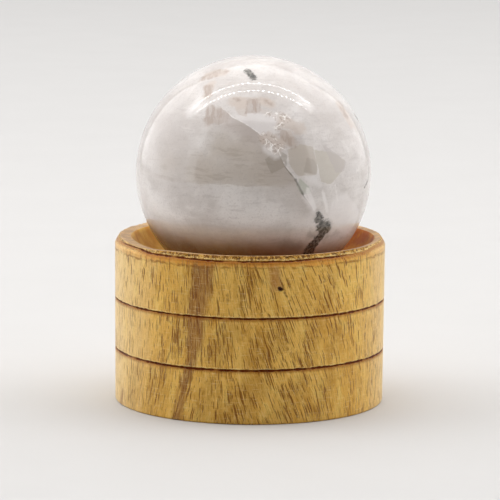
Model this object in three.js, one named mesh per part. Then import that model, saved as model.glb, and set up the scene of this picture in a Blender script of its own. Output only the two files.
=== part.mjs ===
// A polished stone sphere that rests in a turned wooden cup stand.
// Millimetres, +Z up. The origin is the centre of the stand's underside.
import * as THREE from "three";

// The stand's outside: a short cylinder, very slightly wider at the rim than at the foot.
const STAND_HEIGHT = 31.9;
const FOOT_RADIUS = 25.87;
const RIM_RADIUS = 26;
const FOOT_ROUNDING = 0.4;

// Two narrow V grooves run round the wall, and a shallower one runs round the rim's bevel.
const GROOVE_HEIGHTS = [10.26, 20.03];
const GROOVE_WIDTH = 0.44;
const GROOVE_DEPTH = 0.36;
const RIM_LINE_HEIGHT = 30.7;
const RIM_LINE_WIDTH = 0.4;
const RIM_LINE_DEPTH = 0.28;

// At the top the wall leans in, in a slightly rounded bevel, to the crest, the stand's highest ring.
const BEVEL_START = 30.4;
const BEVEL_WIDTH = 0.8;
const BEVEL_ROUNDNESS = 1.2;
const BEVEL_HEIGHTS = [31.2, 31.5, 31.72, STAND_HEIGHT];

// The hollow: from the crest a lip falls to the mouth, and an elliptical bowl goes down from there.
// It was turned a little off the axis of the outside, and the sphere sits at its lowest point.
const HOLLOW_OFFSET = 0.55;
const MOUTH_RADIUS = 23.3;
const BOWL_HALF_WIDTH = 23.65;
const BOWL_HALF_HEIGHT = 12.5;

// The sphere, with a small gap below it so that the two solids don't touch.
const SPHERE_RADIUS = 22.55;
const SPHERE_CENTRE_HEIGHT = 43.85;
const RESTING_GAP = 0.3;
const FLOOR_HEIGHT = SPHERE_CENTRE_HEIGHT - SPHERE_RADIUS - RESTING_GAP;

// How finely the curved faces are divided.
const STAND_SEGMENTS = 88;
const ROUNDING_STEPS = 3;
const BOWL_STEPS = 10;
const SPHERE_SEGMENTS = 72;
const SPHERE_ROWS = 34;

const point = (radius, height) => new THREE.Vector2(radius, height);

// The outside's radius at a height: a straight taper from foot to rim, less the bevel's lean.
function wallRadius(height) {
  const taper = THREE.MathUtils.lerp(FOOT_RADIUS, RIM_RADIUS, height / BEVEL_START);
  const rise = (height - BEVEL_START) / (STAND_HEIGHT - BEVEL_START);
  return rise > 0 ? RIM_RADIUS - BEVEL_WIDTH * rise ** BEVEL_ROUNDNESS : taper;
}

// Points of an upright quarter ellipse round a centre, between two angles in radians.
function ellipseArc(centre, halfWidth, halfHeight, from, to, steps) {
  return Array.from({ length: steps + 1 }, (_, i) => {
    const angle = from + ((to - from) * i) / steps;
    return point(
      centre.x + halfWidth * Math.cos(angle),
      centre.y + halfHeight * Math.sin(angle),
    );
  });
}

// The flat underside from the axis out, and the rounded edge of the foot.
function footPoints() {
  const centre = point(FOOT_RADIUS - FOOT_ROUNDING, FOOT_ROUNDING);
  const edge = ellipseArc(centre, FOOT_ROUNDING, FOOT_ROUNDING, -Math.PI / 2, 0, ROUNDING_STEPS);
  return [point(0, 0), ...edge];
}

// A V groove cut into the wall.
function groovePoints(height, width, depth) {
  return [
    point(wallRadius(height - width / 2), height - width / 2),
    point(wallRadius(height) - depth, height),
    point(wallRadius(height + width / 2), height + width / 2),
  ];
}

// The edge where the bevel starts, its line, and the bevel on up to the crest.
function bevelPoints() {
  return [
    point(RIM_RADIUS, BEVEL_START),
    ...groovePoints(RIM_LINE_HEIGHT, RIM_LINE_WIDTH, RIM_LINE_DEPTH),
    ...BEVEL_HEIGHTS.map((height) => point(wallRadius(height), height)),
  ];
}

// The bowl, an arc of an ellipse from the mouth's edge down to the floor on the hollow's own axis.
function hollowPoints() {
  const centre = point(0, FLOOR_HEIGHT + BOWL_HALF_HEIGHT);
  const mouth = -Math.acos(MOUTH_RADIUS / BOWL_HALF_WIDTH);
  const floor = -Math.PI / 2;
  return ellipseArc(centre, BOWL_HALF_WIDTH, BOWL_HALF_HEIGHT, mouth, floor, BOWL_STEPS);
}

// Moves the points of a lathe's profile from one place in it onwards sideways, seam points too.
function shiftRings(geometry, pointsPerSide, first, offset) {
  const position = geometry.getAttribute("position");
  for (let i = 0; i < position.count; i += 1) {
    if (i % pointsPerSide >= first) position.setX(i, position.getX(i) + offset);
  }
}

function standGeometry() {
  const outside = [
    ...footPoints(),
    ...GROOVE_HEIGHTS.flatMap((height) => groovePoints(height, GROOVE_WIDTH, GROOVE_DEPTH)),
    ...bevelPoints(),
  ];
  const profile = [...outside, ...hollowPoints()];
  const geometry = new THREE.LatheGeometry(profile, STAND_SEGMENTS);
  geometry.rotateX(Math.PI / 2);
  shiftRings(geometry, profile.length, outside.length, HOLLOW_OFFSET);
  geometry.computeVertexNormals();
  return geometry;
}

function sphereGeometry() {
  const geometry = new THREE.SphereGeometry(SPHERE_RADIUS, SPHERE_SEGMENTS, SPHERE_ROWS);
  geometry.rotateX(Math.PI / 2);
  return geometry;
}

function makeStand() {
  const material = new THREE.MeshStandardMaterial({
    color: 0xc49e5c,
    roughness: 0.62,
    metalness: 0,
  });
  const stand = new THREE.Mesh(standGeometry(), material);
  stand.name = "wood_stand";
  return stand;
}

function makeSphere() {
  const material = new THREE.MeshStandardMaterial({
    color: 0xc9bfba,
    roughness: 0.08,
    metalness: 0,
  });
  const sphere = new THREE.Mesh(sphereGeometry(), material);
  sphere.name = "stone_sphere";
  sphere.position.set(HOLLOW_OFFSET, 0, SPHERE_CENTRE_HEIGHT);
  return sphere;
}

const sphereOnStand = new THREE.Group();
sphereOnStand.add(makeStand(), makeSphere());

export default sphereOnStand;
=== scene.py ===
import math

import bmesh
import bpy
import numpy as np
from mathutils import Matrix, Vector


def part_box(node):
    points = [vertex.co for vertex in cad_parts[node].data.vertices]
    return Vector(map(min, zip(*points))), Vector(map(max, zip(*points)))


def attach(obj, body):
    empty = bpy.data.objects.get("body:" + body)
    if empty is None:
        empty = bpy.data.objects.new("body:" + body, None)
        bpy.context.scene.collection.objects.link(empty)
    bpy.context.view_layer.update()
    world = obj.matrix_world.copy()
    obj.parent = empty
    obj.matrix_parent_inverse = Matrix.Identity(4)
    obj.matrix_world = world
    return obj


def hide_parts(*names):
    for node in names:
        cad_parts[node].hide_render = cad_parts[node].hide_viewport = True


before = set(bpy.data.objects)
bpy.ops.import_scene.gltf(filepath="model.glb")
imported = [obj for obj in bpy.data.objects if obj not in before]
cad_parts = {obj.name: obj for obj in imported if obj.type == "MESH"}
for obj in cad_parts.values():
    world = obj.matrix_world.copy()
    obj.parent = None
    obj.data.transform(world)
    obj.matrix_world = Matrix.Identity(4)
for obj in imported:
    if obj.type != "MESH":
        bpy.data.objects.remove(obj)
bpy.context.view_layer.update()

MM = 0.001
FAR = 1e3  # mm, further than any two points of the part are apart

# ---- sizes from the frame ----

stand_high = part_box("wood_stand")[1]
sphere_low, sphere_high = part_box("stone_sphere")
SPHERE_CENTRE = (sphere_low + sphere_high) / 2
SPHERE_RADIUS_MM = (sphere_high.z - sphere_low.z) / 2 / MM
STAND_HEIGHT = stand_high.z / MM
RIM_RADIUS = stand_high.x / MM

# ---- the stand's profile, in mm ----

FOOT_RADIUS = RIM_RADIUS - 0.13
FOOT_ROUNDING = 0.4
TURNING_ALLOWANCE = 0.03  # the mean surface lies this far inside the box, to leave room for burrs
WIDEST_RADIUS = RIM_RADIUS - 0.002  # no burr stands out further

GROOVE_HEIGHTS = (10.26, 20.03)
GROOVE_HALF_WIDTHS = (0.33, 0.25)
GROOVE_DEPTH = 0.34
RIM_LINE_HEIGHT = 30.7  # at the front
RIM_LINE_HALF_WIDTH = 0.23
RIM_LINE_DEPTH = 0.3
SECOND_LINE_HEIGHT = 29.55
SECOND_LINE_HALF_WIDTH = 0.16
SECOND_LINE_DEPTH = 0.05

BEVEL_START = 30.4
BEVEL_WIDTH = 0.8
BEVEL_ROUNDNESS = 1.2
MOUTH_RADIUS = 23.3
HOLLOW_OFFSET = SPHERE_CENTRE.x / MM
BOWL_HALF_WIDTH = 23.65
BOWL_HALF_HEIGHT = 12.5
CONTACT_GAP = 0.02  # between the bowl's floor and the sphere
FLOOR_HEIGHT = sphere_low.z / MM - CONTACT_GAP

PIN_HOLE_ANGLE = 12.7  # degrees
PIN_HOLE_HEIGHT = 25.6
PIN_HOLE_RADIUS = 0.45
PIN_HOLE_DEPTH = 0.55

# How finely the stand is divided: columns round it, and rows along its profile.
COLUMNS = 600
UNDERSIDE_ROWS = 4
UNDERSIDE_START = 1.5  # radius of the first row
UNDERSIDE_MARGIN = 0.8  # between the last row of the underside and the foot's rounding
FOOT_ROWS = 6
PLAIN_ROW_STEP = 0.85
LEAST_ROW_STEP = 0.03
BEVEL_ROWS = 25
LIP_ROWS = 7
BOWL_ROWS = 22

# Places of rows.
OUTSIDE, ON_LIP, IN_BOWL = 0, 1, 2

# Seeds of the lines' noise. A line that has several kinds of noise counts up from its own seed.
GROOVE_SEEDS = (20, 30)
RIM_LINE_SEED = 60
SECOND_LINE_SEED = 70
BURR_SEEDS = (80, 85)


# ---- noise for shapes ----


def smoothstep(low, high, x):
    t = np.clip((x - low) / (high - low), 0, 1)
    return t * t * (3 - 2 * t)


LATTICE_ROWS = 512


def value_noise(u, v, wrap, seed):
    """Smooth noise from -1 to 1 at lattice places u, v. It repeats every wrap cells along u."""
    lattice = np.random.default_rng(seed).uniform(-1, 1, (LATTICE_ROWS, wrap))
    iu, iv = np.floor(u).astype(int), np.floor(v).astype(int)
    fu, fv = smoothstep(0, 1, u - iu), smoothstep(0, 1, v - iv)
    left, right = iu % wrap, (iu + 1) % wrap
    low, high = iv % LATTICE_ROWS, (iv + 1) % LATTICE_ROWS
    bottom = lattice[low, left] * (1 - fu) + lattice[low, right] * fu
    top = lattice[high, left] * (1 - fu) + lattice[high, right] * fu
    return bottom * (1 - fv) + top * fv


def ring_noise(angle, height, cell_around, cell_up, seed):
    """Noise on the stand's wall, with cells of a size in mm, that meets itself at the back."""
    wrap = max(2, round(360 * math.radians(RIM_RADIUS) / cell_around))
    return value_noise((angle / 360 + 0.5) * wrap, height / cell_up, wrap, seed)


# ---- the stand's mesh ----


def outside_radius(height):
    """The turned outside: a straight taper, then the rim's slightly rounded bevel."""
    taper = FOOT_RADIUS + (RIM_RADIUS - FOOT_RADIUS) * np.minimum(height / BEVEL_START, 1)
    rise = np.clip((height - BEVEL_START) / (STAND_HEIGHT - BEVEL_START), 0, 1)
    return taper - BEVEL_WIDTH * rise ** BEVEL_ROUNDNESS - TURNING_ALLOWANCE


def outside_heights():
    """Heights of the outside's rows, which lie closer at the lines, the bevel and the pin hole."""
    second_line_foot = SECOND_LINE_HEIGHT - 0.4
    hole_reach, groove_reach = 0.7, 0.5
    heights = [
        np.arange(FOOT_ROUNDING, BEVEL_START, PLAIN_ROW_STEP),
        np.linspace(second_line_foot, BEVEL_START, 9),
        np.linspace(BEVEL_START, STAND_HEIGHT - TURNING_ALLOWANCE, BEVEL_ROWS),
        PIN_HOLE_HEIGHT + np.linspace(-hole_reach, hole_reach, 11),
    ]
    heights += [z + np.linspace(-groove_reach, groove_reach, 17) for z in GROOVE_HEIGHTS]
    heights = np.sort(np.concatenate(heights))
    return heights[np.concatenate([[True], np.diff(heights) > LEAST_ROW_STEP])]


def arc(centre, half_width, half_height, start, end, count):
    """Radii and heights of points on an ellipse between two angles in radians."""
    a = np.linspace(start, end, count)
    return centre[0] + half_width * np.cos(a), centre[1] + half_height * np.sin(a)


def stand_profile():
    """Radius, height, sideways shift and place of every row, from the underside to the bowl."""
    quarter = math.pi / 2
    under_end = FOOT_RADIUS - FOOT_ROUNDING - UNDERSIDE_MARGIN
    under_r = np.linspace(UNDERSIDE_START, under_end, UNDERSIDE_ROWS)
    foot_centre = (outside_radius(0) - FOOT_ROUNDING, FOOT_ROUNDING)
    foot_r, foot_z = arc(foot_centre, FOOT_ROUNDING, FOOT_ROUNDING, -quarter, 0, FOOT_ROWS)
    wall_z = outside_heights()[1:]
    wall_r = outside_radius(wall_z)
    mouth = -math.acos(MOUTH_RADIUS / BOWL_HALF_WIDTH)
    bowl_centre = (0, FLOOR_HEIGHT + BOWL_HALF_HEIGHT)
    bowl_r, bowl_z = arc(bowl_centre, BOWL_HALF_WIDTH, BOWL_HALF_HEIGHT, mouth, -quarter, BOWL_ROWS)
    share = np.linspace(0, 1, LIP_ROWS + 2)[1:-1]
    lip_r = wall_r[-1] + (bowl_r[0] - wall_r[-1]) * share
    lip_z = wall_z[-1] + (bowl_z[0] - wall_z[-1]) * share ** 1.2
    radius = np.concatenate([under_r, foot_r, wall_r, lip_r, bowl_r[:-1]])
    height = np.concatenate([under_r * 0, foot_z, wall_z, lip_z, bowl_z[:-1]])
    outside = len(under_r) + len(foot_r) + len(wall_r)
    lip = slice(outside, outside + len(share))
    shift = np.full(len(radius), HOLLOW_OFFSET)
    shift[:outside] = 0
    shift[lip] = HOLLOW_OFFSET * share
    place = np.full(len(radius), IN_BOWL)
    place[:outside] = OUTSIDE
    place[lip] = ON_LIP
    return radius, height, shift, place


def row_normals(radius, height):
    """Sideways and upward parts of the profile's outward normals, from the neighbouring rows."""
    dr, dz = np.gradient(radius), np.gradient(height)
    length = np.hypot(dr, dz)
    return dz / length, -dr / length


def rim_line_height(angle):
    """The rim's dark line isn't level: it climbs towards the crest at both sides."""
    to_side = 0.2 * smoothstep(14, 34, np.abs(angle))
    left = 0.42 * smoothstep(-47, -58, angle)
    right = 0.4 * smoothstep(55, 68, angle)
    return RIM_LINE_HEIGHT + to_side + left + right


def crest_drop(angle, height):
    """How much lower the hand-turned rim lies at each angle than at its highest place, in mm."""
    top = smoothstep(BEVEL_START - 0.6, STAND_HEIGHT, height)
    front = 0.08 * (1 + np.cos(np.radians(angle)))
    front_left = 0.34 * np.exp(-(((angle + 54) / 13) ** 2))
    waver = 0.03 * ring_noise(angle, height * 0, 9, 1, seed=11)
    return top * np.maximum(front + front_left + 0.02 + waver, 0)


def scored_line(angle, height, centre, half_width, depth, seed):
    """Depth of a scored line with a wavering course and torn edges."""
    course = 0.04 * ring_noise(angle, height * 0, 14, 1, seed)
    width = half_width * (1 + 0.4 * ring_noise(angle, height * 0, 0.6, 1, seed + 1))
    edge = 0.08 * ring_noise(angle, height, 0.4, 0.15, seed + 2)
    off = (height - centre - course + edge) / width
    shallow = smoothstep(0.35, 0.9, ring_noise(angle, height * 0, 1.8, 1, seed + 3))
    return depth * smoothstep(1.1, 0, np.abs(off)) * (1 - 0.55 * shallow)


def burr(angle, height, centre, seed):
    """Height of the torn fibres that stand along a groove's upper edge."""
    band = np.exp(-(((height - centre - 0.33) / 0.1) ** 2))
    fine = ring_noise(angle, height * 0, 0.5, 1, seed)
    broad = ring_noise(angle, height * 0, 2, 1, seed + 1)
    return 0.045 * band * np.clip(fine + broad, 0, 1)


def pin_hole(angle, height):
    """Depth of the small knot hole in the front of the wall, and the distance in its radii."""
    across = np.radians(angle - PIN_HOLE_ANGLE) * RIM_RADIUS
    up = height - PIN_HOLE_HEIGHT
    turn = np.arctan2(up, across)
    wobble = 1 + 0.2 * np.cos(2 * turn + 0.8) + 0.12 * np.cos(3 * turn)
    near = np.hypot(across, up * 0.9) / (PIN_HOLE_RADIUS * wobble)
    return PIN_HOLE_DEPTH * smoothstep(1.15, 0.5, near), near


def rim_line_strength(angle):
    """The rim's line fades out at both sides, and is weak from the front's right to the back."""
    away = np.abs(angle)
    strength = smoothstep(84, 60, away) + smoothstep(100, 130, away)
    return strength * (1 - 0.75 * smoothstep(32, 56, angle) * smoothstep(140, 120, angle))


def turning_ridges(angle, height):
    """Fine rings that the tool left, and broader unevenness."""
    rings = ring_noise(angle, height, 60, 0.35, seed=5)
    uneven = ring_noise(angle, height, 9, 2.2, seed=6)
    return 0.008 * rings + 0.006 * uneven


def crest_roughness(angle, height):
    """Torn fibres and chips on the crest, which lie a little lower than the turned surface."""
    long_fibres = ring_noise(angle, height, 0.5, 1.6, seed=7)
    short_fibres = ring_noise(angle, height, 0.3, 0.5, seed=8)
    torn = 0.6 * long_fibres + 0.4 * short_fibres
    chips = smoothstep(0.35, 0.8, ring_noise(angle, height, 0.8, 1.2, seed=9))
    return 0.1 * torn - 0.25 * chips - 0.04


def stand_relief(angle, height, place):
    """How far the turned surface stands proud of its profile, in mm, and how burnt each point is,
    how much of it is crest, and its distance from the pin hole in the hole's radii."""
    outside = place == OUTSIDE
    wall = outside * smoothstep(0, 0.3, height)
    grooves = zip(GROOVE_HEIGHTS, GROOVE_HALF_WIDTHS, GROOVE_SEEDS)
    cuts = sum(scored_line(angle, height, z, half, GROOVE_DEPTH, seed) for z, half, seed in grooves)
    burrs = sum(burr(angle, height, z, seed) for z, seed in zip(GROOVE_HEIGHTS, BURR_SEEDS))
    line_height = rim_line_height(angle)
    line_depth = RIM_LINE_DEPTH * rim_line_strength(angle)
    line = scored_line(angle, height, line_height, RIM_LINE_HALF_WIDTH, line_depth, RIM_LINE_SEED)
    second = scored_line(
        angle, height, SECOND_LINE_HEIGHT, SECOND_LINE_HALF_WIDTH, SECOND_LINE_DEPTH,
        SECOND_LINE_SEED,
    )
    hole, near_hole = pin_hole(angle, height)
    crest = outside * smoothstep(0.05, 0.3, height - line_height)
    proud = turning_ridges(angle, height) + burrs - cuts - line - second - hole
    relief = wall * proud + crest * crest_roughness(angle, height)
    burnt = np.clip(wall * (cuts / GROOVE_DEPTH + line / RIM_LINE_DEPTH), 0, 1)
    return relief, burnt, crest, near_hole


def grid_faces(rows, columns):
    """Quads between the rows, and the two fans that close the ends on their middle points."""
    i, j = np.meshgrid(np.arange(rows - 1), np.arange(columns), indexing="ij")
    k = (j + 1) % columns
    below, above = i * columns, (i + 1) * columns
    quads = np.stack([below + j, below + k, above + k, above + j], -1)
    first, last = rows * columns, rows * columns + 1
    last_row = (rows - 1) * columns
    j, k = j[0], k[0]
    start = np.stack([np.full(columns, first), k, j], -1)
    end = np.stack([np.full(columns, last), last_row + j, last_row + k], -1)
    return quads.reshape(-1, 4).tolist() + start.tolist() + end.tolist()


def new_object(name, data):
    made = bpy.data.objects.new(name, data)
    bpy.context.scene.collection.objects.link(made)
    return made


def new_piece(name, points_mm, faces):
    """A smooth-shaded object made from points in mm and faces that are lists of their numbers."""
    mesh = bpy.data.meshes.new(name)
    mesh.from_pydata((points_mm * MM).tolist(), [], faces)
    mesh.validate()
    mesh.polygons.foreach_set("use_smooth", [True] * len(mesh.polygons))
    return new_object(name, mesh)


def store(piece, name, values):
    """Keeps one number, or one vector, for every point of a piece, for its material to read."""
    values = np.asarray(values, np.float32)
    kind, key = ("FLOAT", "value") if values.ndim == 1 else ("FLOAT_VECTOR", "vector")
    made = piece.data.attributes.new(name, kind, "POINT")
    made.data.foreach_set(key, values.ravel())


def away_from_stretch(points, a, b):
    """How far each point is from the straight stretch between two places."""
    along = b - a
    t = np.clip((points - a) @ along / (along @ along), 0, 1)
    return np.linalg.norm(points - (a + t[:, None] * along), axis=1)


def depth_in_strokes(points, strokes, place_of):
    """How far inside a set of strokes each point lies. A stroke is two places and a radius."""
    best = np.full(len(points), -FAR)
    for start, end, size in strokes:
        best = np.maximum(best, size - away_from_stretch(points, place_of(*start), place_of(*end)))
    return best


def wall_place(angle, height):
    """A place on the unrolled wall, in mm, at an angle in degrees and a height."""
    return np.array([math.radians(angle) * RIM_RADIUS, height])


LEAN_CENTRE_HEIGHT = 10  # mm, where the leaning fibres keep their place


def grain_places(points, angle):
    """The stand's points turned round the axis so that the wood's fibres run straight up. On the
    front's right half they lean to the left as they rise. On its left half their lower stretches
    lean to the right."""
    up = points[:, 2] - LEAN_CENTRE_HEIGHT
    right_half = smoothstep(-38, 16, angle) * smoothstep(150, 60, np.abs(angle))
    lean = 0.35 - 0.27 * smoothstep(20, 60, angle)
    left_half = smoothstep(-80, -40, angle) * (1 - right_half)
    shift = right_half * lean * up + left_half * (-0.15 * up + 0.005 * up ** 2)
    turn = shift / RIM_RADIUS
    x = points[:, 0] * np.cos(turn) - points[:, 1] * np.sin(turn)
    y = points[:, 0] * np.sin(turn) + points[:, 1] * np.cos(turn)
    return np.stack([x, y, points[:, 2]], -1)


# The heartwood streak: heights in mm, and at each its middle in degrees and half its width in mm.
STREAK_HEIGHTS = (0, 5, 9, 11.5, 14.5, 21, 29)
STREAK_MIDDLES = (-31.8, -28.8, -26, -24.2, -23, -22.2, -19.3)
STREAK_HALF_WIDTHS = (0.9, 0.95, 1.05, 1.2, 1.5, 1.9, 2.3)

# Marks on the wall, as strokes between (angle, height) places with a radius in mm.
WALL_MARKS = {
    "tint": [
        ((-71, 0), (-69, 2.5), 1.1), ((10, 29.5), (11, 26.5), 1.1), ((128, 0), (133, 26), 1.3),
    ],
    "hairline": [((14.2, 24.9), (16.8, 23.4), 0.3)],
    "figure": [
        ((95, 3), (99, 14), 1.6), ((112, 12), (116, 29), 1.4), ((140, 1), (146, 20), 2.2),
        ((168, 6), (172, 28), 1.6), ((-166, 2), (-160, 18), 1.8), ((-140, 12), (-136, 29), 2),
        ((-112, 1), (-108, 16), 1.6), ((-92, 16), (-90, 28), 1.2), ((-9, 1.5), (3, 7.5), 2.4),
        ((-19, 2), (-16, 7), 1.2), ((-31, 13.5), (-28.5, 19), 1.3), ((-41, 3), (-38, 9), 1.2),
        ((-60, 2), (-56, 7), 1.5), ((-15, 13), (-6, 18), 1.8), ((2, 12.5), (12, 17), 2.4),
        ((-3, 21.5), (0, 28), 0.7), ((14, 2), (22, 8), 1.6), ((24, 11.5), (28, 18), 1.4),
        ((30, 2), (36, 9), 1.6), ((36, 12), (40, 18), 1.3), ((-46, 2), (-44, 8), 1.4),
        ((33, 21.5), (36, 27), 1.3), ((-27.5, 22), (-26, 28), 0.9),
    ],
}


def streak_depth(angle, height):
    """How far inside the dark heartwood streak a point lies, in mm."""
    middle = np.interp(height, STREAK_HEIGHTS, STREAK_MIDDLES)
    half = np.interp(height, STREAK_HEIGHTS, STREAK_HALF_WIDTHS)
    return half - np.abs(np.radians(angle - middle)) * RIM_RADIUS


# What the marks' attributes hold where no mark of the wall shows.
HIDDEN = 50  # taken from or added to the attributes on the lip and in the bowl
AWAY_FROM_HOLE = 9  # pin hole radii
ABOVE_RIM_LINE = 3  # mm


def make_stand():
    """The turned stand, with what its material reads stored at the points."""
    radius, height, shift, place = stand_profile()
    rows = len(radius)
    angle = np.linspace(-180, 180, COLUMNS, endpoint=False)
    grid = np.tile(angle, (rows, 1))
    places = np.repeat(place[:, None], COLUMNS, 1)
    level = np.repeat(height[:, None], COLUMNS, 1)
    level = level - crest_drop(grid, level)
    relief, burnt, crest, near_hole = stand_relief(grid, level, places)
    normal_r, normal_z = row_normals(radius, height)
    r = np.minimum(radius[:, None] + relief * normal_r[:, None], WIDEST_RADIUS)
    z = np.clip(level + relief * normal_z[:, None], 0, STAND_HEIGHT)
    turn = np.radians(grid)
    points = np.stack([r * np.sin(turn) + shift[:, None], -r * np.cos(turn), z], -1).reshape(-1, 3)
    ends = [[0, 0, 0], [HOLLOW_OFFSET, 0, FLOOR_HEIGHT]]
    points = np.concatenate([points, ends])
    stand = new_piece("turned_stand", points, grid_faces(rows, COLUMNS))

    def with_ends(values, underside=0, bowl=0):
        """Values of the grid's points, then those of the two middle points that close it."""
        return np.append(values.ravel(), [underside, bowl])

    angles = with_ends(grid)
    hidden = HIDDEN * (with_ends(places, OUTSIDE, IN_BOWL) != OUTSIDE)
    on_wall = np.stack([np.radians(angles) * RIM_RADIUS, points[:, 2]], -1)
    store(stand, "grain", grain_places(points, angles))
    store(stand, "around", on_wall[:, 0])
    store(stand, "height", points[:, 2])
    store(stand, "burnt", with_ends(burnt))
    store(stand, "crest", with_ends(crest))
    store(stand, "lip", with_ends(places == ON_LIP))
    store(stand, "hollow", with_ends(places == IN_BOWL, bowl=1))
    store(stand, "hole", with_ends(near_hole, AWAY_FROM_HOLE, AWAY_FROM_HOLE) + hidden)
    above_line = with_ends(level - rim_line_height(grid), ABOVE_RIM_LINE, ABOVE_RIM_LINE)
    store(stand, "above_rim_line", above_line - hidden)
    store(stand, "streak", streak_depth(angles, points[:, 2]) - hidden)
    for name, strokes in WALL_MARKS.items():
        store(stand, name, depth_in_strokes(on_wall, strokes, wall_place) - hidden)
    return stand


# ---- the sphere's mesh ----

# Marks in the stone, as strokes between (azimuth, elevation) places in degrees, with a radius in
# mm. Azimuth is 0 at the front and grows to the right.
STONE_MARKS = {
    "smoky": [
        ((-27, 7), (14, 5), 3.8), ((-16, 18), (4, 15), 3), ((-46, 9), (18, 5), 2.4),
        ((128, 10), (150, 24), 3), ((-150, -6), (-118, 4), 3.2),
    ],
    "mauve": [((-14, 32), (2, 25), 1.5)],
    "veil": [
        ((-64, 34), (-46, 8), 5.5), ((26, 58), (50, 42), 3.5), ((36, 46), (56, 34), 4),
        ((100, 50), (150, 56), 4),
    ],
    "brown": [
        ((-51, 57), (-43, 60), 1), ((-42, 63), (-34, 64), 0.8), ((-38, 51), (-34, 47), 0.9),
        ((-27, 38), (-26, 32), 0.9), ((-22, 37), (-20, 32), 0.8), ((-17, 36), (-16, 33), 0.7),
        ((-13, 45), (-10, 44), 0.4), ((8, 44), (10, 42.5), 0.5), ((15, 26), (20, 21), 0.9),
        ((66, 36), (66, 33), 0.8), ((152, 44), (160, 36), 0.9), ((168, 34), (172, 28), 0.7),
        ((-128, 40), (-118, 46), 0.9),
    ],
    "tan": [
        ((-13, 43.5), (-8, 42.5), 1.3), ((7, 43.5), (10, 42.5), 1.1), ((-50, 60), (-34, 63), 1.2),
        ((-38, 54), (-35, 46), 0.9), ((17, 32), (25, 29), 1.2), ((66, 38), (67, 28), 1.3),
        ((7, 24), (13, 22), 1.2), ((148, 48), (170, 32), 1.5), ((-100, 10), (-92, -8), 1.3),
    ],
    # The large pale stroke low at the right is painted light, lifting the shade there; the others
    # are the stone's own pale patches.
    "pale": [
        ((6, 19), (11, 16), 0.7), ((25, -4), (31, -12), 0.5), ((26, 5), (33, 1), 0.6),
        ((48, -12), (60, -20), 3),
    ],
    "blade": [
        ((26.5, -1), (31, -10.5), 0.4), ((34.8, -2.4), (38.8, -12.5), 0.35),
        ((42.4, 0), (45.2, -9), 0.15),
    ],
    "crackled": [
        ((5, 38), (10, 36), 0.5), ((14, 35), (18, 34), 1), ((15, 32), (13, 29), 0.6),
        ((6, 24), (12, 20), 1.3), ((156, 40), (166, 32), 1.2),
    ],
    "dark": [
        ((-9, 66), (-5, 64), 0.5), ((-6, 63), (-1, 60), 0.7), ((33, -13), (36, -16), 0.6),
        ((34, -16), (39, -19), 0.7), ((36, -20), (41, -22), 0.9), ((39, -22), (38, -27), 0.9),
        ((37, -27), (35, -31), 1), ((34, -32), (35, -38), 1.1), ((83, 31), (84, 29), 0.4),
        ((-148, 20), (-143, 12), 0.5),
    ],
    "hair": [
        ((78, 5), (75, -1), 0.2), ((75, -1), (69, -4), 0.2), ((15, 10.5), (19, 5.6), 0.1),
        ((20, 4.4), (24, -3), 0.25), ((-143, 12), (-140, -12), 0.2),
    ],
    "murk": [
        ((31, -24), (34, -25), 0.6), ((42, -20), (43, -27), 0.5), ((18, -29), (25, -31), 1.2),
    ],
}

# Flat-sided patches of the stone, each a convex outline of (azimuth, elevation) corners.
STONE_FACETS = {
    "warm_facet": [
        [
            (17.3, 18.5), (24.7, 20.6), (30.8, 19.3), (32.2, 9.1), (31.7, 6), (21.6, 5.5),
            (17.1, 11.9),
        ],
        [(-176, 15), (-161, 25), (-149, 9), (-158, -4)],
    ],
    "dark_facet": [[(26.6, 14.2), (30.5, 13.2), (32.2, 9.1), (31.1, 6.3), (24.5, 7.2)]],
    "shadow_block": [[(5.4, 14.2), (12.7, 17.8), (16.5, 16.1), (16, 10.3), (8.5, 7.3)]],
    "olive_facet": [
        [
            (31.2, 17.7), (41.9, 15.9), (50.5, 11.4), (49.2, 6.8), (41.6, 2.1), (39.5, 0.5),
            (33.5, 2.2),
        ],
        [(-148, 9), (-160, 25), (-138, 19), (-128, 8), (-139, 1)],
    ],
    "mauve_facet": [
        [(36, 21.1), (44.8, 15.1), (51.6, 10.3), (48.8, 6.3), (43.2, 5.7)],
        [(-127, 8), (-137, 20), (-121, 26), (-114, 12)],
    ],
    "pale_facet": [
        [(-11.2, 35), (-1.2, 37), (13.7, 35.9), (11, 26.3), (5.3, 24.4), (-4.7, 31)],
        [(98, 30), (112, 40), (124, 26), (120, 12), (108, 14)],
    ],
    "green_facet": [[(22.2, 5.5), (27.3, -0.1), (28.6, -2.8), (23.3, -3), (20.4, 0.8)]],
    "brown_block": [[(-5.4, 45.5), (4.3, 45.5), (3.9, 37.1), (-4.7, 37)]],
    "beige_block": [
        [(-14.9, 46), (11.5, 45.2), (12, 41.5), (-13, 42)],
        [(-15.1, 43), (-4.7, 42.5), (-4.2, 35.2), (-9, 35.8)],
        [(14, 28), (20, 28), (21.6, 19.5), (13, 21)],
    ],
}

# The main cleavage shows as a line down the front, and a shorter one runs below it.
MAIN_CLEAVAGE = [
    (-18.5, 38.5), (-12.6, 34.3), (-4.7, 31), (5.3, 24.4), (12, 17.5), (15.1, 10.4), (19.1, 5.6),
    (24.5, -3.6), (31.4, -12.2),
]
LOWER_CLEAVAGE = [(-12, 33), (-5, 27), (1, 22), (6, 18), (14, 13)]


def stone_place(azimuth, elevation):
    """The point of the sphere's surface, in mm from its centre, at an azimuth and elevation."""
    a, e = math.radians(azimuth), math.radians(elevation)
    outward = np.array([math.sin(a) * math.cos(e), -math.cos(a) * math.cos(e), math.sin(e)])
    return outward * SPHERE_RADIUS_MM


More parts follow.
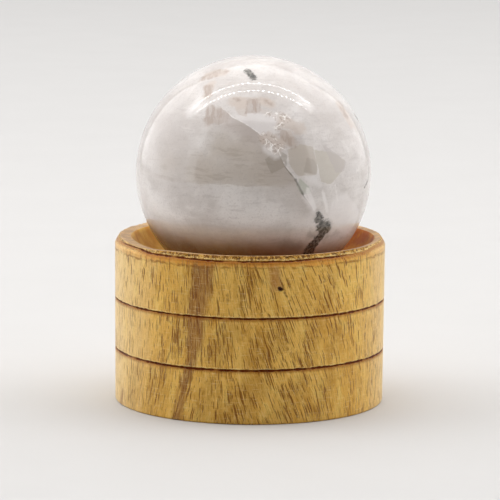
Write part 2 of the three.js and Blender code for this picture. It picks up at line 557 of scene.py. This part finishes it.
def above_line(points, line):
    """Signed distance in mm from a line on the sphere: positive above and to the right of it."""
    nearest = np.full(len(points), FAR)
    signed = np.zeros(len(points))
    for start, end in zip(line, line[1:]):
        a, b = stone_place(*start), stone_place(*end)
        away = away_from_stretch(points, a, b)
        side = np.sign((points - a) @ np.cross(a, b))
        closer = away < nearest
        nearest = np.where(closer, away, nearest)
        signed = np.where(closer, side * away, signed)
    return signed


def depth_in_facets(points, outlines):
    """How far inside a set of flat-sided outlines on the sphere each point lies, in mm."""
    best = np.full(len(points), -FAR)
    for corners in outlines:
        places = np.array([stone_place(*corner) for corner in corners])
        middle = places.mean(axis=0)
        depth = np.full(len(points), FAR)
        for a, b in zip(places, np.roll(places, -1, axis=0)):
            edge = np.cross(a, b)
            edge *= np.sign(edge @ middle) / np.linalg.norm(edge)
            depth = np.minimum(depth, points @ edge)
        best = np.maximum(best, depth)
    return best


POLISH_ALLOWANCE = 0.004  # mm, to stay inside the solid's box
SPHERE_SUBDIVISIONS = 7


def make_sphere():
    """The polished sphere, with what its material reads stored at the points."""
    mesh = bmesh.new()
    bmesh.ops.create_icosphere(mesh, subdivisions=SPHERE_SUBDIVISIONS, radius=1.0)
    mesh.verts.ensure_lookup_table()
    normals = np.array([v.co for v in mesh.verts])
    faces = [[v.index for v in f.verts] for f in mesh.faces]
    mesh.free()
    normals /= np.linalg.norm(normals, axis=1)[:, None]
    surface = normals * SPHERE_RADIUS_MM
    points = normals * (SPHERE_RADIUS_MM - POLISH_ALLOWANCE) + np.array(SPHERE_CENTRE) / MM
    sphere = new_piece("polished_sphere", points, faces)
    store(sphere, "stone", surface)
    store(sphere, "main_cleavage", above_line(surface, MAIN_CLEAVAGE))
    store(sphere, "lower_cleavage", above_line(surface, LOWER_CLEAVAGE))
    for name, strokes in STONE_MARKS.items():
        store(sphere, name, depth_in_strokes(surface, strokes, stone_place))
    for name, outlines in STONE_FACETS.items():
        store(sphere, name, depth_in_facets(surface, outlines))
    return sphere


# ---- materials ----


def srgb(r, g, b):
    """A linear colour from 8-bit sRGB numbers."""
    def linear(c):
        c /= 255
        return c / 12.92 if c <= 0.04045 else ((c + 0.055) / 1.055) ** 2.4
    return (linear(r), linear(g), linear(b), 1)


def palette(**colours):
    """Linear colours by name, from 8-bit sRGB ones."""
    return {name: srgb(*rgb) for name, rgb in colours.items()}


WOOD = palette(
    gold=(236, 190, 96), deep_gold=(222, 171, 78), pale_gold=(236, 200, 108),
    # The pale side colour is partly sapwood and partly painted sheen.
    brown_gold=(194, 140, 50), sapwood=(242, 215, 160), streak=(148, 98, 54), tint=(150, 92, 62),
    figure=(150, 104, 34), dark_fibre=(144, 92, 22), pale_fibre=(242, 214, 146),
    fine_pore=(128, 74, 0), pore=(124, 64, 0), pale_scratch=(240, 212, 150),
    dark_scratch=(150, 104, 44), hairline=(96, 54, 20), burnished=(222, 146, 54),
    second_line=(146, 86, 24), crest_dark=(96, 48, 6), crest=(198, 148, 62),
    crest_pale=(246, 214, 140), lip=(212, 172, 118), grey_lip=(182, 144, 104),
    bowl_left=(250, 196, 84), deep_bowl_left=(232, 164, 58), bowl_right=(208, 132, 8),
    deep_bowl_right=(182, 94, 0), scorched=(154, 86, 20), torn=(246, 218, 146), burnt=(108, 46, 0),
    # The hole colour is painted shade inside the pin hole.
    hole=(74, 42, 28),
)

STONE = palette(
    milky=(232, 226, 222), cloud=(208, 200, 195), wisp=(182, 172, 168), pale_wisp=(242, 237, 233),
    smoky=(194, 181, 167), smoky_wisp=(172, 156, 140), mauve=(192, 176, 170),
    # Among these, the low-shade colour and the bowl colour are painted shade on the stone's lower
    # part; the browner one also stands for a painted reflection of the wood.
    beside_cleavage=(182, 170, 162), veil=(196, 187, 182), dull=(150, 132, 120),
    near_bowl=(126, 102, 84), mottle=(176, 166, 160), crystal=(180, 172, 166),
    warm_facet=(197, 186, 174), olive_facet=(198, 189, 176), mauve_facet=(192, 182, 178),
    dark_facet=(164, 152, 140), shadow_block=(160, 148, 134), pale_facet=(228, 221, 218),
    green_facet=(176, 180, 162), beige_block=(204, 189, 177), brown_block=(176, 156, 144),
    tan=(206, 190, 178), brown=(178, 160, 148), pale=(238, 232, 229), blade=(248, 243, 240),
    crackled=(214, 198, 188), speck=(156, 136, 120), vein=(255, 250, 245),
    dark_line=(120, 116, 100), light_line=(246, 240, 236), murk=(128, 118, 108), hair=(96, 90, 80),
    black=(44, 41, 36), grey=(120, 115, 106),
)

FLOOR = palette(grey=(196, 194, 192), pale=(200, 198, 196))

# How strongly each set of facets is coloured, in the order in which they are laid on.
FACET_STRENGTHS = {
    "warm_facet": 0.8, "olive_facet": 0.75, "mauve_facet": 0.55, "dark_facet": 0.32,
    "shadow_block": 0.5, "pale_facet": 0.7, "green_facet": 0.55, "beige_block": 0.48,
}

MIX_A, MIX_B, MIX_RESULT = 6, 7, 2  # numbers of the mix node's colour sockets
NO_W = 0  # the textures' fourth dimension, which isn't used

HEART_OFFSET = 1.5  # mm from the stand's middle to the right: the heart, and the middle of the paler sides, which are partly painted sheen


class Graph:
    """A material's node tree, with one short call for each kind of node it is built from."""

    def __init__(self, name, colours):
        self.colours = colours
        self.material = bpy.data.materials.new(name)
        self.material.use_nodes = True
        self.tree = self.material.node_tree
        self.tree.nodes.clear()

    def node(self, kind, *values, **settings):
        """A new node with its settings, and with values or links for its first inputs."""
        made = self.tree.nodes.new("ShaderNode" + kind)
        for key, value in settings.items():
            setattr(made, key, value)
        for socket, value in zip(made.inputs, values):
            self.feed(socket, value)
        return made

    def feed(self, socket, value):
        if isinstance(value, bpy.types.NodeSocket):
            self.tree.links.new(value, socket)
        else:
            socket.default_value = value

    def number(self, name):
        return self.node("Attribute", attribute_name=name).outputs["Fac"]

    def vector(self, name):
        return self.node("Attribute", attribute_name=name).outputs["Vector"]

    def times(self, a, b):
        return self.node("Math", a, b, operation="MULTIPLY").outputs[0]

    def plus(self, a, b):
        return self.node("Math", a, b, operation="ADD").outputs[0]

    def minus(self, a, b):
        return self.node("Math", a, b, operation="SUBTRACT").outputs[0]

    def away_from(self, a, b):
        """How far a number lies from another, on either side."""
        return self.node("Math", self.minus(a, b), operation="ABSOLUTE").outputs[0]

    def step(self, value, low, high, start=0, end=1):
        """A smooth rise from start to end as value goes from low to high."""
        numbers = (value, low, high, start, end)
        return self.node("MapRange", *numbers, interpolation_type="SMOOTHSTEP").outputs[0]

    def scaled(self, vector, scale):
        return self.node("VectorMath", vector, scale, operation="MULTIPLY").outputs[0]

    def moved(self, vector, by):
        return self.node("VectorMath", vector, by, operation="ADD").outputs[0]

    def parts(self, vector):
        """A vector's X, Y and Z."""
        return self.node("SeparateXYZ", vector).outputs

    def noise(self, vector, scale=1, detail=2, roughness=0.5, output="Fac"):
        """Noise with scale cells to a unit, which can be one number or one for each axis."""
        if isinstance(scale, tuple):
            vector, scale = self.scaled(vector, scale), 1
        return self.node("TexNoise", vector, NO_W, scale, detail, roughness).outputs[output]

    def cells(self, vector, output="Distance"):
        """A cell pattern: the distance to the nearest cell's middle, or the cell's own colour."""
        return self.node("TexVoronoi", vector, NO_W, 1).outputs[output]

    def chance(self, vector):
        """A random number from 0 to 1 for each cell of the cell pattern."""
        return self.node("SeparateColor", self.cells(vector, "Color")).outputs[0]

    def mix(self, share, a, b):
        """Colour a where share is 0, and colour b where it is 1. Either can be a palette name."""
        made = self.node("Mix", share, data_type="RGBA")
        for number, colour in ((MIX_A, a), (MIX_B, b)):
            self.feed(made.inputs[number], self.colours.get(colour, colour))
        return made.outputs[MIX_RESULT]

    def paint(self, base, share, strength, tone):
        """A tone laid over a colour, where share says and as strongly as strength says."""
        return self.mix(self.times(share, strength), base, tone)

    def shift(self, vector, amount, scale):
        """A vector field pushed about by noise, to make straight patterns waver."""
        push = self.noise(vector, scale=scale, output="Color")
        centred = self.moved(push, (-0.5, -0.5, -0.5))
        return self.moved(vector, self.scaled(centred, (amount, amount, amount)))

    def bump(self, height, distance):
        made = self.node("Bump", 1, distance)
        self.feed(made.inputs["Height"], height)
        return made.outputs["Normal"]

    def finish(self, colour, roughness, normal, **plain):
        """The finished material. Its further settings are plain numbers, named as the shader's."""
        shader = self.node("BsdfPrincipled")
        self.feed(shader.inputs["Base Color"], colour)
        self.feed(shader.inputs["Roughness"], roughness)
        self.feed(shader.inputs["Normal"], normal)
        for name, value in plain.items():
            shader.inputs[name.replace("_", " ")].default_value = value
        out = self.node("OutputMaterial")
        self.tree.links.new(shader.outputs[0], out.inputs["Surface"])
        return self.material


# ---- the wood ----


def wood_ground(g, wavering):
    """Gold wood with deeper bands and patches along the fibres, paler towards the sides: partly
    sapwood, partly painted sheen.
    """
    bands = g.noise(wavering, (0.42, 0.42, 0.06), detail=4, roughness=0.6)
    colour = g.mix(g.step(bands, 0.36, 0.64), "gold", "deep_gold")
    blotches = g.noise(wavering, (0.6, 0.6, 0.3), detail=4)
    colour = g.mix(g.step(blotches, 0.54, 0.68, 0, 0.6), colour, "pale_gold")
    colour = g.mix(g.step(blotches, 0.46, 0.32, 0, 0.4), colour, "brown_gold")
    from_middle = g.away_from(g.parts(wavering)[0], HEART_OFFSET)
    from_middle = g.plus(from_middle, g.times(bands, 8))
    # Partly sapwood and partly painted sheen: the wood is paler towards the left and right sides,
    # standing in for the sheen at grazing angles.
    return g.mix(g.step(from_middle, 21.5, 32, 0, 0.74), colour, "sapwood")


def wood_marks(g, colour, grain):
    """The heartwood streak, a few brown tints, and the darker figures, with the figures' share."""
    ragged = g.noise(grain, (1.1, 1.1, 0.22), detail=5, roughness=0.6)
    ragged = g.minus(ragged, 0.5)
    streak = g.plus(g.number("streak"), g.times(ragged, 2.2))
    share = g.times(g.step(streak, -0.6, 0.7), g.step(ragged, -0.15, 0.1, 0.6, 0.85))
    colour = g.mix(share, colour, "streak")
    tint = g.plus(g.number("tint"), g.times(ragged, 4))
    colour = g.mix(g.step(tint, -0.8, 1.2, 0, 0.6), colour, "tint")
    figure = g.plus(g.number("figure"), g.times(ragged, 7))
    figure = g.step(figure, -1.8, 1.6)
    return g.paint(colour, figure, 0.3, "figure"), figure


def vessels(g, grain, across, along, smallest, largest, soft, figure):
    """Open vessels: short dashes along the grain, each an ellipsoid that the surface cuts.
    Across and along are the cells to a millimetre. The sizes are shares of a cell."""
    places = g.shift(g.scaled(grain, (across, across, along)), 0.8, 0.45)
    size = g.step(g.chance(places), 0, 1, smallest, largest)
    size = g.times(size, g.plus(0.82, g.times(figure, 0.28)))
    crowding = g.noise(grain, (0.22, 0.22, 0.05))
    size = g.times(size, g.step(crowding, 0.36, 0.56, 0.68, 1.06))
    return g.step(g.minus(size, g.cells(places)), 0, soft)


def scratches(g, height):
    """Noise drawn out round the stand, for the fine marks that the tool left across the grain."""
    around = g.times(g.number("around"), 0.35)
    place = g.node("CombineXYZ", around, g.times(height, 3.2)).outputs[0]
    return g.noise(place, detail=5, roughness=0.75)


def rim_colours(g, colour, grain, height):
    """The burnished band under the rim's line, the irregular second line, and the torn crest."""
    ragged = g.noise(grain, (0.8, 0.8, 0.5), detail=5, roughness=0.65)
    level = g.plus(height, g.times(g.minus(ragged, 0.5), 1.3))
    around = g.number("around")
    band = g.times(g.step(level, 29.6, 30), g.step(height, 30.8, 30.5))
    band = g.times(band, g.step(ragged, 0.3, 0.6, 0.25, 0.6))
    band = g.times(band, g.step(around, -32, -14, 0.45, 1))
    band = g.times(band, g.step(around, 24, 15, 0.4, 1))
    colour = g.mix(band, colour, "burnished")
    breaks = g.noise(grain, (0.5, 0.5, 0.9), detail=4, roughness=0.7)
    second = g.step(g.away_from(level, SECOND_LINE_HEIGHT), 0.4, 0.05)
    second = g.times(second, g.step(breaks, 0.42, 0.6, 0.1, 0.7))
    colour = g.mix(second, colour, "second_line")
    strokes = g.noise(grain, (2, 2, 1), detail=5, roughness=0.75)
    crest = g.mix(g.step(strokes, 0.46, 0.54), "crest_dark", "crest")
    crest = g.mix(g.step(strokes, 0.58, 0.64), crest, "crest_pale")
    return g.paint(colour, g.number("crest"), 0.9, crest)


def hollow_colours(g, colour, grain):
    """The greyish lip and the smooth golden-brown bowl, which is darker at the right."""
    tone = g.noise(grain, (0.35, 0.35, 0.1), detail=4)
    lip = g.mix(g.step(tone, 0.35, 0.65), "lip", "grey_lip")
    deep = g.step(tone, 0.4, 0.6)
    left = g.mix(deep, "bowl_left", "deep_bowl_left")
    right = g.mix(deep, "bowl_right", "deep_bowl_right")
    bowl = g.mix(g.step(g.parts(grain)[0], -12, 14), left, right)
    colour = g.mix(g.number("lip"), colour, lip)
    return g.mix(g.number("hollow"), colour, bowl)


def line_colours(g, colour, grain, height, ragged):
    """Scorched wood at and below each scored line, pale torn fibres above it, and painted shade in
    the pin hole.
    """
    tufts = g.noise(grain, (1.6, 1.6, 1), detail=4)
    tufts = g.step(tufts, 0.42, 0.6, 0.1, 0.75)
    above_grooves = [g.minus(height, z) for z in GROOVE_HEIGHTS]
    for above in above_grooves + [g.number("above_rim_line")]:
        off = g.plus(above, g.times(ragged, 0.7))
        scorched = g.times(g.step(off, -0.85, -0.2), g.step(off, 0.3, 0.05))
        colour = g.paint(colour, scorched, 0.72, "scorched")
        torn = g.times(g.step(off, 0.2, 0.28), g.step(off, 0.5, 0.36))
        colour = g.mix(g.times(torn, tufts), colour, "torn")
    colour = g.mix(g.step(g.number("burnt"), 0.15, 0.7), colour, "burnt")
    # Painted shade: the inside of the pin hole is painted dark brown.
    return g.mix(g.step(g.number("hole"), 1.25, 0.7), colour, "hole")


def wood_material():
    g = Graph("turned_wood", WOOD)
    grain, height = g.vector("grain"), g.number("height")
    wavering = g.shift(grain, 0.6, 0.3)
    colour = wood_ground(g, wavering)
    colour, figure = wood_marks(g, colour, grain)

    fibres = g.noise(wavering, (4.6, 4.6, 0.4), detail=5, roughness=0.72)
    colour = g.mix(g.step(fibres, 0.5, 0.66, 0, 0.5), colour, "dark_fibre")
    colour = g.mix(g.step(fibres, 0.48, 0.3, 0, 0.5), colour, "pale_fibre")

    fine = vessels(g, wavering, 6, 0.8, 0.05, 0.52, 0.2, figure)
    colour = g.paint(colour, fine, 0.42, "fine_pore")
    pores = vessels(g, wavering, 4.6, 0.25, 0.05, 0.62, 0.14, figure)
    colour = g.paint(colour, pores, 0.8, "pore")

    marks = scratches(g, height)
    colour = g.mix(g.step(marks, 0.54, 0.7, 0, 0.5), colour, "pale_scratch")
    colour = g.mix(g.step(marks, 0.44, 0.3, 0, 0.25), colour, "dark_scratch")

    hairline = g.step(g.number("hairline"), 0, 0.2, 0, 0.5)
    colour = g.mix(hairline, colour, "hairline")
    colour = rim_colours(g, colour, grain, height)
    colour = hollow_colours(g, colour, grain)
    colour = line_colours(g, colour, grain, height, g.minus(fibres, 0.5))

    relief = g.minus(g.times(fibres, 0.5), pores)
    relief = g.plus(relief, g.times(marks, 0.4))
    relief = g.times(relief, g.step(g.number("hollow"), 1, 0, 0.15, 1))
    return g.finish(
        colour,
        g.step(fibres, 0.3, 0.7, 0.4, 0.56),
        g.bump(relief, 0.08 * MM),
        IOR=1.5, Specular_IOR_Level=0.14, Sheen_Weight=0.25, Sheen_Roughness=0.25,
    )


# ---- the stone ----


class StoneGraph(Graph):
    """The stone's node tree, with the places, lines and noise that several features share."""

    def __init__(self):
        super().__init__("polished_stone", STONE)
        self.place = self.vector("stone")
        axes = self.parts(self.place)
        self.to_right, self.up = axes[0], axes[2]
        self.main = self.number("main_cleavage")
        self.lower = self.number("lower_cleavage")
        self.near_smoky = self.step(self.number("smoky"), -8, -3)
        broad = self.noise(self.place, scale=0.35, detail=4, roughness=0.6)
        fine = self.noise(self.place, scale=1, detail=4, roughness=0.6)
        self.broad, self.fine = self.minus(broad, 0.5), self.minus(fine, 0.5)
        columns = self.noise(self.place, (1.5, 0.3, 0.3), detail=3, roughness=0.6)
        self.columns = self.step(columns, 0.38, 0.58, 0.45, 1)

    def mark(self, name, ragged_broad, ragged_fine, soft):
        """The share of a mark at a point, with its edge broken up by noise."""
        depth = self.plus(self.number(name), self.times(self.broad, ragged_broad))
        depth = self.plus(depth, self.times(self.fine, ragged_fine))
        return self.step(depth, -soft, soft)


def stone_ground(g):
    """Milky white feldspar with soft clouds and faint level wisps, and the noise of the wisps."""
    clouds = g.noise(g.shift(g.place, 4, 0.09), scale=0.1, detail=5, roughness=0.6)
    colour = g.mix(g.step(clouds, 0.35, 0.66), "milky", "cloud")
    level = g.scaled(g.shift(g.place, 1.2, 0.25), (0.22, 0.22, 1.3))
    wisps = g.noise(level, detail=5, roughness=0.6)
    colour = g.mix(g.step(wisps, 0.54, 0.7, 0, 0.3), colour, "wisp")
    return g.mix(g.step(wisps, 0.46, 0.32, 0, 0.25), colour, "pale_wisp"), wisps


def smoky_parts(g, colour, wisps):
    """The smoky part below the main cleavage, deeper below the lower one, and greys beside it."""
    haze = g.plus(g.number("smoky"), g.times(g.broad, 3))
    smoky = g.plus(g.step(haze, -5, 2, 0, 0.45), g.step(haze, -1.5, 2.5, 0, 0.55))
    lower_edge = g.plus(g.up, g.times(g.minus(wisps, 0.5), 2.5))
    smoky = g.times(smoky, g.step(lower_edge, 0.2, 0.9, 0.25, 1))
    smoky = g.times(smoky, g.step(g.main, 0.1, -0.1))
    deeper = g.plus(0.6, g.times(g.step(g.lower, 0.15, -0.15), 0.4))
    colour = g.paint(colour, g.times(smoky, deeper), 0.68, "smoky")
    colour = g.paint(colour, g.times(smoky, g.step(wisps, 0.52, 0.62)), 0.3, "smoky_wisp")
    mauve = g.times(g.mark("mauve", 1, 0.5, 0.8), g.step(g.main, 0.05, -0.05))
    colour = g.paint(colour, mauve, 0.3, "mauve")
    beside = g.times(g.step(g.main, 0.06, -0.06), g.step(g.main, -5, 0))
    return g.paint(colour, g.times(beside, g.near_smoky), 0.6, "beside_cleavage")


def veils_and_painted_shade(g, colour):
    """Greyer veils, painted shade low at the left and middle, and near the bowl painted shade and a
    painted reflection of the wood.
    """
    veil = g.plus(g.number("veil"), g.times(g.broad, 6))
    colour = g.paint(colour, g.step(veil, -3, 3), 0.45, "veil")
    # Painted shade: the stone is darkened on its lower part, below the stand's rim.
    low = g.plus(g.up, g.times(g.broad, 1.6))
    dull = g.times(g.step(low, -5.8, -7.8), g.step(g.to_right, 14, 6))
    colour = g.paint(colour, dull, 0.28, "dull")
    # Painted shade and painted reflection of the wood: the lowest part, near the bowl, is darkened
    # to brown.
    low = g.plus(low, g.times(g.to_right, 0.1))
    return g.paint(colour, g.step(low, -9, -14), 0.95, "near_bowl")


def facet_colours(g, colour):
    """Fine mottling, the faint crystals of the whole stone, and the flat-sided patches."""
    mottle = g.noise(g.place, scale=2.6, detail=3, roughness=0.7)
    colour = g.paint(colour, g.step(mottle, 0.5, 0.7), 0.3, "mottle")
    crystals = g.chance(g.scaled(g.shift(g.place, 0.8, 0.5), (0.3, 0.3, 0.2)))
    colour = g.paint(colour, g.step(crystals, 0.3, 1), 0.12, "crystal")
    for name, strength in FACET_STRENGTHS.items():
        colour = g.paint(colour, g.mark(name, 0.6, 0.5, 0.12), strength, name)
    return colour


def patches(g, colour):
    """Tan patches, brown ones broken up into columns, and pale ones."""
    colour = g.paint(colour, g.mark("tan", 2, 1.5, 0.5), 0.6, "tan")
    block = g.times(g.mark("brown_block", 1, 1.3, 0.25), g.columns)
    colour = g.paint(colour, block, 0.85, "brown_block")
    brown = g.times(g.mark("brown", 1.5, 1.5, 0.4), g.columns)
    colour = g.paint(colour, brown, 0.8, "brown")
    # The pale strokes are the stone's own, except the large one low at the right, which is painted
    # light.
    colour = g.paint(colour, g.mark("pale", 1, 0.8, 0.5), 0.6, "pale")
    return g.paint(colour, g.mark("blade", 0.5, 0.5, 0.2), 0.6, "blade")


def crackle(g, colour, crackled):
    """White veins and brown specks where the stone is crackled."""
    ridges = g.away_from(g.noise(g.place, scale=0.55, detail=4), 0.5)
    veins = g.times(g.step(ridges, 0.042, 0.012), g.step(g.fine, -0.06, 0.03))
    specks = g.step(g.noise(g.place, scale=2.2), 0.52, 0.62)
    colour = g.paint(colour, crackled, 0.3, "crackled")
    colour = g.paint(colour, g.times(specks, crackled), 0.5, "speck")
    return g.paint(colour, g.times(veins, crackled), 0.85, "vein")


def cleavage_lines(g, colour):
    """The main cleavage: a dark line along one stretch of it, and a light one beside the smoke."""
    on_line = g.times(g.step(g.main, -0.32, -0.08), g.step(g.main, 0.08, -0.02))
    dark = g.times(on_line, g.step(g.broad, -0.1, 0.1, 0.2, 1))
    stretch = g.times(g.step(g.to_right, 4.5, 6.5), g.step(g.up, -2.8, -0.8))
    colour = g.paint(colour, g.times(dark, stretch), 0.7, "dark_line")
    light = g.times(g.step(g.main, -0.05, 0.08), g.step(g.main, 0.35, 0.15))
    light = g.times(light, g.step(g.fine, -0.1, 0.04))
    return g.paint(colour, g.times(light, g.near_smoky), 0.55, "light_line")


def dark_marks(g, colour, dark):
    """Murky stone, hair lines, and the black inclusions."""
    colour = g.paint(colour, g.mark("murk", 1, 2, 1), 0.5, "murk")
    colour = g.paint(colour, g.mark("hair", 0.3, 0.5, 0.15), 0.7, "hair")
    sooty = g.noise(g.place, scale=1.6, detail=4, roughness=0.7)
    tone = g.mix(g.step(sooty, 0.42, 0.6), "black", "grey")
    return g.paint(colour, dark, 0.92, tone)


def stone_material():
    g = StoneGraph()
    crackled = g.mark("crackled", 1.5, 1.5, 0.4)
    dark = g.mark("dark", 1.2, 1.8, 0.3)
    colour, wisps = stone_ground(g)
    colour = smoky_parts(g, colour, wisps)
    colour = veils_and_painted_shade(g, colour)
    colour = facet_colours(g, colour)
    colour = patches(g, colour)
    colour = crackle(g, colour, crackled)
    colour = cleavage_lines(g, colour)
    colour = dark_marks(g, colour, dark)
    return g.finish(
        colour,
        g.plus(0.05, g.times(crackled, 0.06)),
        g.bump(g.minus(1, dark), 0.004 * MM),
        IOR=1.53, Subsurface_Weight=0.12, Subsurface_Radius=(3, 2.6, 2.2), Subsurface_Scale=MM,
    )


# ---- studio ----


def floor_material():
    g = Graph("studio_floor", FLOOR)
    speckle = g.noise(g.node("TexCoord").outputs["Object"], scale=40, detail=3)
    colour = g.mix(speckle, "grey", "pale")
    return g.finish(colour, 0.8, g.bump(speckle, 0.02 * MM))


def make_floor():
    half = 3.0
    corners = [(-half, -half, 0), (half, -half, 0), (half, half, 0), (-half, half, 0)]
    mesh = bpy.data.meshes.new("studio_floor")
    mesh.from_pydata(corners, [], [(0, 1, 2, 3)])
    mesh.materials.append(floor_material())
    floor = new_object("studio_floor", mesh)


DOWN = (0, 0, -1)

# The large soft panels: name, place, way it faces, width, height and brightness.
LARGE_PANELS = (
    ("left_wall", (-0.8, 0.35, 0.6), (1, 0, 0), 1.7, 1.2, 1.44),
    ("right_wall", (0.8, 0.35, 0.6), (-1, 0, 0), 1.7, 1.2, 1.32),
    ("back_wall", (0, 1.3, 0.6), (0, -1, 0), 1.6, 1.2, 0.6),
    ("ceiling", (0, 0.3, 1.2), DOWN, 1.6, 2, 1.64),
)

# The strips overhead: two long tubes, each with a row of small lamps just below it.
TUBE_HEIGHT = 0.464
TUBE_WIDTH = 0.01
STRIPS = ((0.095, 3, 22), (0.018, 1, 52))  # place in y, brightness of the tube and of its lamps
STRIP_MIDDLE = -0.04
STRIP_HALF_LENGTH = 0.38
LAMPS_PER_STRIP = 30
LAMP_SIZE = 0.008
LAMP_HEIGHT = TUBE_HEIGHT - 0.005

# The glows above the strips' ends: name, place in x and y, width, depth and brightness.
GLOWS = (
    ("strip_end_right", 0.33, 0.07, 0.18, 0.12, 1.6),
    ("strip_end_left", -0.42, 0.1, 0.24, 0.18, 1.3),
)
GLOW_HEIGHT = TUBE_HEIGHT + 0.01
GLOW_SHARES = (1, 0.7, 0.4)  # sizes of the panels that lie over each other in a glow
GLOW_GAP = 0.002

WORLD_COLOUR = (0.9, 0.9, 0.92, 1)
WORLD_STRENGTH = 0.15


def panel(name, place, facing, width, height, radiance):
    """A soft rectangular light with a given brightness per area, that no camera sees."""
    data = bpy.data.lights.new(name, "AREA")
    data.shape = "RECTANGLE"
    data.size, data.size_y = width, height
    data.energy = radiance * math.pi * width * height
    light = new_object(name, data)
    light.location = place
    light.rotation_mode = "QUATERNION"
    light.rotation_quaternion = (-Vector(facing)).to_track_quat("Z", "Y")
    light.visible_camera = False


def make_strips():
    """Two rows of small lamps overhead, a little behind the sphere's middle, which its polish
    shows as arcs."""
    for row, (y, tube, lamp) in enumerate(STRIPS):
        place = (STRIP_MIDDLE, y, TUBE_HEIGHT)
        panel(f"strip_{row}", place, DOWN, 2 * STRIP_HALF_LENGTH, TUBE_WIDTH, tube)
        for i in range(LAMPS_PER_STRIP):
            x = STRIP_MIDDLE + STRIP_HALF_LENGTH * (2 * (i + 0.5) / LAMPS_PER_STRIP - 1)
            panel(f"lamp_{row}_{i}", (x, y, LAMP_HEIGHT), DOWN, LAMP_SIZE, LAMP_SIZE, lamp)


def make_glows():
    """Patches of light overhead, each brightest in its middle."""
    for name, x, y, width, depth, radiance in GLOWS:
        for i, share in enumerate(GLOW_SHARES):
            place = (x, y, GLOW_HEIGHT - GLOW_GAP * i)
            panel(f"{name}_{i}", place, DOWN, width * share, depth * share, radiance)


def make_lights():
    for large in LARGE_PANELS:
        panel(*large)
    make_strips()
    make_glows()
    world = bpy.data.worlds.new("studio")
    world.use_nodes = True
    background = world.node_tree.nodes["Background"]
    background.inputs["Color"].default_value = WORLD_COLOUR
    background.inputs["Strength"].default_value = WORLD_STRENGTH
    bpy.context.scene.world = world
    bpy.context.scene.view_settings.view_transform = "Standard"


CAMERA_PLACE = (0.0, -0.6, 0.12356)
CAMERA_PITCH = 0.15653  # radians below the horizon
CAMERA_ROLL = 0.0085
CAMERA_LENS_MM = 227.18
CAMERA_SENSOR_MM = 36.0


def make_camera():
    data = bpy.data.cameras.new("camera")
    data.sensor_width = CAMERA_SENSOR_MM
    data.lens = CAMERA_LENS_MM
    data.clip_start = 0.05
    camera = new_object("camera", data)
    pitch = Matrix.Rotation(math.pi / 2 - CAMERA_PITCH, 4, "X")
    roll = Matrix.Rotation(CAMERA_ROLL, 4, "Z")
    camera.matrix_world = Matrix.Translation(CAMERA_PLACE) @ (pitch @ roll)
    bpy.context.scene.camera = camera


# ---- putting it together ----

stand = make_stand()
stand.data.materials.append(wood_material())
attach(stand, "root")
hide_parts("wood_stand")

sphere = make_sphere()
sphere.data.materials.append(stone_material())
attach(sphere, "root")
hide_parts("stone_sphere")

make_floor()
make_lights()
make_camera()
